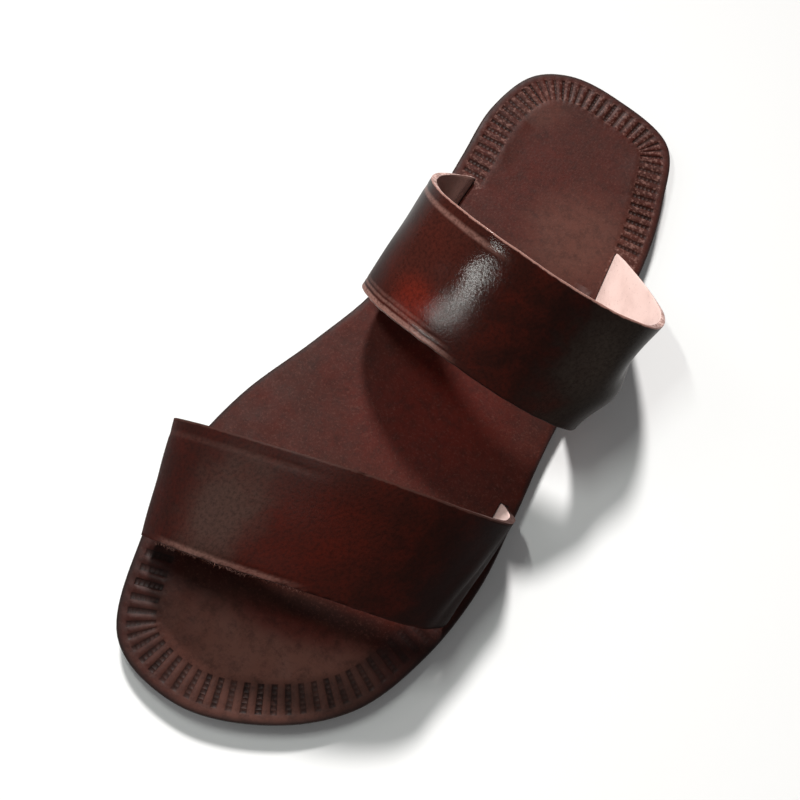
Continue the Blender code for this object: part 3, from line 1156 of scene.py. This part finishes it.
def pocket_cutters(context, sizes):
    """Boxes for the pockets in the outsole that the straps' tabs lie in."""
    inner_wall = sizes.tab + INSOLE_GAP
    outer_wall = sizes.strap / 2.0 + INSOLE_GAP
    depth = sizes.strap + INSOLE_GAP
    cutters = []
    for middle, along, length, inward in slits(sizes):
        middle += inward * (inner_wall - outer_wall) / 2.0
        middle.z = sizes.outsole
        size = (inner_wall + outer_wall, length + 3.0 * INSOLE_GAP, 2.0 * depth)
        cutters.append(box_cutter(context, middle, along, size))
    return cutters


def slit_cutters(context, sizes):
    """Boxes for the slits in the insole."""
    cutters = []
    for middle, along, length, _ in slits(sizes):
        middle.z = insole_top(sizes) - sizes.insole / 2.0
        size = (sizes.strap + 2.0 * INSOLE_GAP, length + 4.0 * INSOLE_GAP, 2.0 * sizes.insole)
        cutters.append(box_cutter(context, middle, along, size))
    return cutters


# Worn hollows of the footbed: place in percent, depth and width; and its soft waves
FOOTBED_HOLLOWS = (
    ((-3.0, -36.0), 0.45 * MM, 26.0 * MM),
    ((4.0, 22.0), 0.35 * MM, 34.0 * MM),
    ((6.0, 42.0), 0.25 * MM, 20.0 * MM),
)
FOOTBED_WAVE_HEIGHT = 0.28 * MM
FOOTBED_WAVE_LENGTH = 22.0 * MM


def footbed_relief(sizes, place):
    """Height of the worn footbed over its flat plane: hollows under heel and ball, and soft waves."""
    relief = 0.0
    for middle, depth, width in FOOTBED_HOLLOWS:
        relief -= depth * bell((place - on_sole(sizes, middle, 0.0)).length, width)
    waves = noise.noise(Vector((place.x, place.y, 0.0)) / FOOTBED_WAVE_LENGTH)
    return relief + waves * FOOTBED_WAVE_HEIGHT


def press_border(sizes, mesh, faces_by_ring, strokes, top):
    """Press the strokes into the border: a shallow tray each, with a row of teeth in it."""
    pressed = mesh.verts.layers.float["pressed"]
    cells = [(stroke, faces[stroke.side]) for stroke in strokes for faces in faces_by_ring]
    every = [face for _, face in cells]

    def sink(depth_share, tone_share):
        """Lower every cell to a share of its stroke's depth, and mark its tone."""
        for stroke, face in cells:
            for vert in face.verts:
                vert.co.z = top - sizes.stroke_depth * depth_share * stroke.press
                vert[pressed] = tone_share * stroke.press

    bmesh.ops.inset_region(mesh, faces=every, thickness=TRAY_STEP, use_even_offset=True)
    sink(TRAY_SHARE, TRAY_TONE)
    bmesh.ops.inset_individual(mesh, faces=every, thickness=TOOTH_STEP, use_even_offset=True)
    sink(1.0, 1.0)


def mark_inset(mesh, outline, side_top):
    """Keep on each point how far it lies in from the edge, in millimetres, and nothing on the side."""
    inset = mesh.verts.layers.float["inset"]
    tree = kdtree.KDTree(len(outline.points))
    for index, point in enumerate(outline.points):
        tree.insert(point, index)
    tree.balance()
    for vert in mesh.verts:
        _, _, gap = tree.find((vert.co.x, vert.co.y, 0.0))
        vert[inset] = gap / MM if vert.co.z > side_top else 0.0


def grid_cut(mesh, face, cell):
    """Cut a level face into cells by straight cuts both ways."""
    xs = [vert.co.x for vert in face.verts]
    ys = [vert.co.y for vert in face.verts]
    faces = [face]
    for axis, values in ((Vector((1.0, 0.0, 0.0)), xs), (Vector((0.0, 1.0, 0.0)), ys)):
        place = min(values) + cell
        while place < max(values) - cell / 2.0:
            edges = {edge for item in faces for edge in item.edges}
            verts = {vert for item in faces for vert in item.verts}
            geom = [*verts, *edges, *faces]
            result = bmesh.ops.bisect_plane(mesh, geom=geom, plane_co=axis * place, plane_no=axis)
            faces = [item for item in result["geom"] if isinstance(item, bmesh.types.BMFace)]
            place += cell
    return faces


class SANDAL_OT_insole(bpy.types.Operator):
    """Make the leather insole with its pressed border, slits and worn footbed"""

    bl_idname = "sandal.make_insole"
    bl_label = "Insole"

    def execute(self, context):
        sizes = context.scene.sandal_sizes
        outline = Outline(sizes)
        stations, strokes = border_stations(sizes, outline)
        points = [outline.at(station) for station in stations]
        bottom = sizes.outsole + INSOLE_GAP
        top = insole_top(sizes)
        edge_round = INSOLE_ROUNDS[1]
        mesh, _, (roof, ring) = sole_layer(points, bottom, top, *INSOLE_ROUNDS)
        step_in(mesh, roof, ring, sizes.border_margin - edge_round)
        faces_by_ring = []
        for _ in range(STROKE_TEETH):
            faces_by_ring.append(step_in(mesh, roof, ring, sizes.border_width / STROKE_TEETH))
        step_in(mesh, roof, ring, FIELD_STEP)
        field = grid_cut(mesh, roof, FIELD_CELL)
        press_border(sizes, mesh, faces_by_ring, strokes, top)
        inside = set(field)
        for vert in {vert for face in field for vert in face.verts}:
            if inside.issuperset(vert.link_faces):
                vert.co.z += footbed_relief(sizes, Vector((vert.co.x, vert.co.y, 0.0)))
        mark_inset(mesh, outline, top - edge_round)
        material = insole_leather(context.scene.sandal_colours)
        item = add_piece(context, "insole_leather", mesh, [material], "insole_leather", "insole")
        cut_out(context, item, slit_cutters(context, sizes))
        return {"FINISHED"}


class SANDAL_OT_straps(bpy.types.Operator):
    """Make both straps with their grain side, flesh side and cut edges"""

    bl_idname = "sandal.make_straps"
    bl_label = "Straps"

    def execute(self, context):
        sizes = context.scene.sandal_sizes
        colours = context.scene.sandal_colours
        flesh = strap_flesh(colours)
        for strap in straps(sizes):
            band = strap_mesh(sizes, strap)
            materials = [strap_grain(strap, colours), flesh, strap_edge(strap, colours)]
            name = f"{strap.name}_leather"
            item = add_piece(context, name, band, materials, "strap_leather", strap.name)
            give_thickness(item, sizes.strap)
        return {"FINISHED"}


RIM_ROUND = 0.3 * MM
RIM_ANGLE = radians(60.0)


def give_thickness(item, thickness):
    """Wall of a strap from its middle surface, with its own materials inside and on its rounded rims."""
    shell = item.modifiers.new("thickness", "SOLIDIFY")
    shell.thickness = thickness
    shell.offset = 0.0
    shell.use_even_offset = True
    shell.use_rim = True
    shell.material_offset = 1
    shell.material_offset_rim = 2
    rounded = item.modifiers.new("rounded rims", "BEVEL")
    rounded.width = RIM_ROUND
    rounded.segments = 2
    rounded.limit_method = "ANGLE"
    rounded.angle_limit = RIM_ANGLE
    rounded.harden_normals = False


# Fibres of the frayed rim: where along the strap they stand, in millimetres, and the ranges that each
# is drawn from: height in thicknesses of the strap, length as a share of the longest
FRAY_RUN = (-8.0, 52.0)
FRAY_HEIGHT = (-0.45, 0.35)
FRAY_LEAN_ALONG = (-1.6, 1.6)
FRAY_LEAN_UP = (-0.9, 0.5)
FRAY_LENGTH = (0.4, 1.0)
FRAY_LONGEST = 1.6 * MM
# Half a fibre's thickness in millimetres, its tip's share of that, and how much of it stands out
FRAY_THICKNESS = (0.04, 0.09)
FRAY_TIP = 0.4
FRAY_OUT = 0.42
FRAY_SIDES = 5
FRAY_SEED = 5


class SANDAL_OT_fray(bpy.types.Operator):
    """Make the loose fibres on the front strap's front rim"""

    bl_idname = "sandal.make_fray"
    bl_label = "Frayed rim"

    def execute(self, context):
        sizes = context.scene.sandal_sizes
        surface = StrapSurface(sizes, straps(sizes)[1])
        draw = random.Random(FRAY_SEED)
        fray = bmesh.new()
        rows = [row for row in range(surface.rows) if FRAY_RUN[0] < surface.along[row] < FRAY_RUN[1]]
        for _ in range(sizes.fray_count):
            row = draw.choice(rows)
            step = draw.random()
            start = mix(surface.shaped(row, 1.0), surface.shaped(min(row + 1, surface.rows - 3), 1.0), step)
            outward = (surface.front[row] - surface.rear[row]).normalized()
            along = (surface.front[row + 1] - surface.front[row]).normalized()
            up = surface.normal(row, 1.0)
            height = draw.uniform(*FRAY_HEIGHT) * sizes.strap
            way = outward + along * draw.uniform(*FRAY_LEAN_ALONG) + up * draw.uniform(*FRAY_LEAN_UP)
            length = draw.uniform(*FRAY_LENGTH) ** 2 * FRAY_LONGEST
            thickness = draw.uniform(*FRAY_THICKNESS) * MM
            place = start + up * height + way.normalized() * length * FRAY_OUT
            turn = way.to_track_quat("Z", "Y").to_matrix().to_4x4()
            bmesh.ops.create_cone(
                fray,
                cap_ends=True,
                cap_tris=True,
                segments=FRAY_SIDES,
                radius1=thickness,
                radius2=thickness * FRAY_TIP,
                depth=length,
                matrix=Matrix.Translation(place) @ turn,
            )
        material = fray_finish(context.scene.sandal_colours)
        add_piece(context, "front_strap_fray", fray, [material], "strap_leather")
        return {"FINISHED"}


# Camera, lights and floor: places and lengths in metres, lens in millimetres, powers in watts, and
# the key light's in watts per square metre
CAMERA_PLACE = Vector((-11.64, 115.33, 320.9)) * MM
CAMERA_AIM = Vector((4.5, 18.5, 15.0)) * MM
CAMERA_TOP = Vector((0.5264, -0.7779, 0.3432))
CAMERA_LENS = 41.98
CAMERA_SENSOR = 36.0
CAMERA_CLIP = (0.01, 20.0)
FLOOR_REACH = 15.0
FLOOR_HEIGHT = -0.1 * MM
WHITE = (1.0, 1.0, 1.0)
KEY_LIGHT = {"direction": (0.64, -0.88, 1.0), "softness": 7.0, "power": 3.6, "colour": (1.0, 0.98, 0.96)}
STREAK_LAMP = {
    "direction": (0.36, 0.02, 0.93),
    "distance": 0.345,
    "size": (0.010, 0.10),
    "power": 0.37,
    "colour": (0.95, 1.0, 0.96),
    "long_way": (-1.0, 1.0, 0.0),
}
SIDE_LIGHT = {
    "direction": (0.75, 0.20, 0.60),
    "distance": 1.2,
    "size": (0.40, 0.40),
    "power": 1.0,
    "colour": WHITE,
}
SKY_STRENGTH = 0.18


def look_along(place, forward, top):
    """Placing of a camera or light that looks forward with a direction at the top of its picture."""
    forward = forward.normalized()
    up = (top - forward * top.dot(forward)).normalized()
    right = forward.cross(up)
    turn = Matrix((right, up, -forward)).transposed().to_4x4()
    return Matrix.Translation(place) @ turn


def add_far_light(context, name, direction, softness, power, colour):
    """Distant light that shines on everything from a direction; softness is its width in degrees."""
    light = bpy.data.lights.new(name, "SUN")
    light.angle = radians(softness)
    light.energy = power
    light.color = colour
    way = Vector(direction).normalized()
    link_item(context, name, light, look_along(CAMERA_AIM + way, -way, Vector((0.0, 1.0, 0.0))))


def add_area_light(context, name, direction, distance, size, power, colour, long_way=(0.0, 1.0, 0.0)):
    """Area light that shines on the sandal from a direction; long_way is how its second side lies."""
    light = bpy.data.lights.new(name, "AREA")
    light.shape = "RECTANGLE"
    light.size, light.size_y = size
    light.energy = power
    light.color = colour
    way = Vector(direction).normalized()
    lamp = link_item(context, name, light, look_along(CAMERA_AIM + way * distance, -way, Vector(long_way)))
    lamp.visible_camera = False


class SANDAL_OT_stage(bpy.types.Operator):
    """Make the floor, the lights and the camera"""

    bl_idname = "sandal.make_stage"
    bl_label = "Stage"

    def execute(self, context):
        mesh = bmesh.new()
        bmesh.ops.create_grid(mesh, x_segments=8, y_segments=8, size=FLOOR_REACH)
        bmesh.ops.translate(mesh, verts=mesh.verts, vec=(0.0, 0.0, FLOOR_HEIGHT))
        floor = link_mesh(context, "floor", mesh, [floor_finish(context.scene.sandal_colours)])
        add_far_light(context, "key", **KEY_LIGHT)
        add_area_light(context, "lamp", **STREAK_LAMP)
        add_area_light(context, "side", **SIDE_LIGHT)
        world = bpy.data.worlds.new("studio")
        world.use_nodes = True
        sky = world.node_tree.nodes["Background"]
        sky.inputs["Color"].default_value = (*WHITE, 1.0)
        sky.inputs["Strength"].default_value = SKY_STRENGTH
        context.scene.world = world
        context.scene.view_settings.view_transform = "Standard"
        camera = bpy.data.cameras.new("camera")
        camera.sensor_width = CAMERA_SENSOR
        camera.lens = CAMERA_LENS
        camera.clip_start, camera.clip_end = CAMERA_CLIP
        place = look_along(CAMERA_PLACE, CAMERA_AIM - CAMERA_PLACE, CAMERA_TOP)
        context.scene.camera = link_item(context, "camera", camera, place)
        return {"FINISHED"}


class SANDAL_PT_panel(bpy.types.Panel):
    """Buttons for the sandal's pieces, with its sizes and colours"""

    bl_label = "Leather sandal"
    bl_idname = "SANDAL_PT_panel"
    bl_space_type = "VIEW_3D"
    bl_region_type = "UI"
    bl_category = "Sandal"

    def draw(self, context):
        """List the operators, then the sizes and colours."""
        for operator in OPERATORS:
            self.layout.operator(operator.bl_idname)
        for group in (context.scene.sandal_sizes, context.scene.sandal_colours):
            box = self.layout.box()
            for name in group.__annotations__:
                box.prop(group, name)


OPERATORS = (
    SANDAL_OT_outsole,
    SANDAL_OT_insole,
    SANDAL_OT_straps,
    SANDAL_OT_fray,
    SANDAL_OT_stage,
)
CLASSES = (SandalSizes, SandalColours, *OPERATORS, SANDAL_PT_panel)


def register():
    """Make the classes and their settings known to Blender."""
    for item in CLASSES:
        bpy.utils.register_class(item)
    bpy.types.Scene.sandal_sizes = PointerProperty(type=SandalSizes)
    bpy.types.Scene.sandal_colours = PointerProperty(type=SandalColours)


def unregister():
    """Take the settings and classes away again."""
    del bpy.types.Scene.sandal_colours
    del bpy.types.Scene.sandal_sizes
    for item in reversed(CLASSES):
        bpy.utils.unregister_class(item)


def main():
    """Make the whole sandal and its stage."""
    register()
    bpy.ops.sandal.make_outsole()
    bpy.ops.sandal.make_insole()
    bpy.ops.sandal.make_straps()
    bpy.ops.sandal.make_fray()
    bpy.ops.sandal.make_stage()


if __name__ == "__main__":
    main()
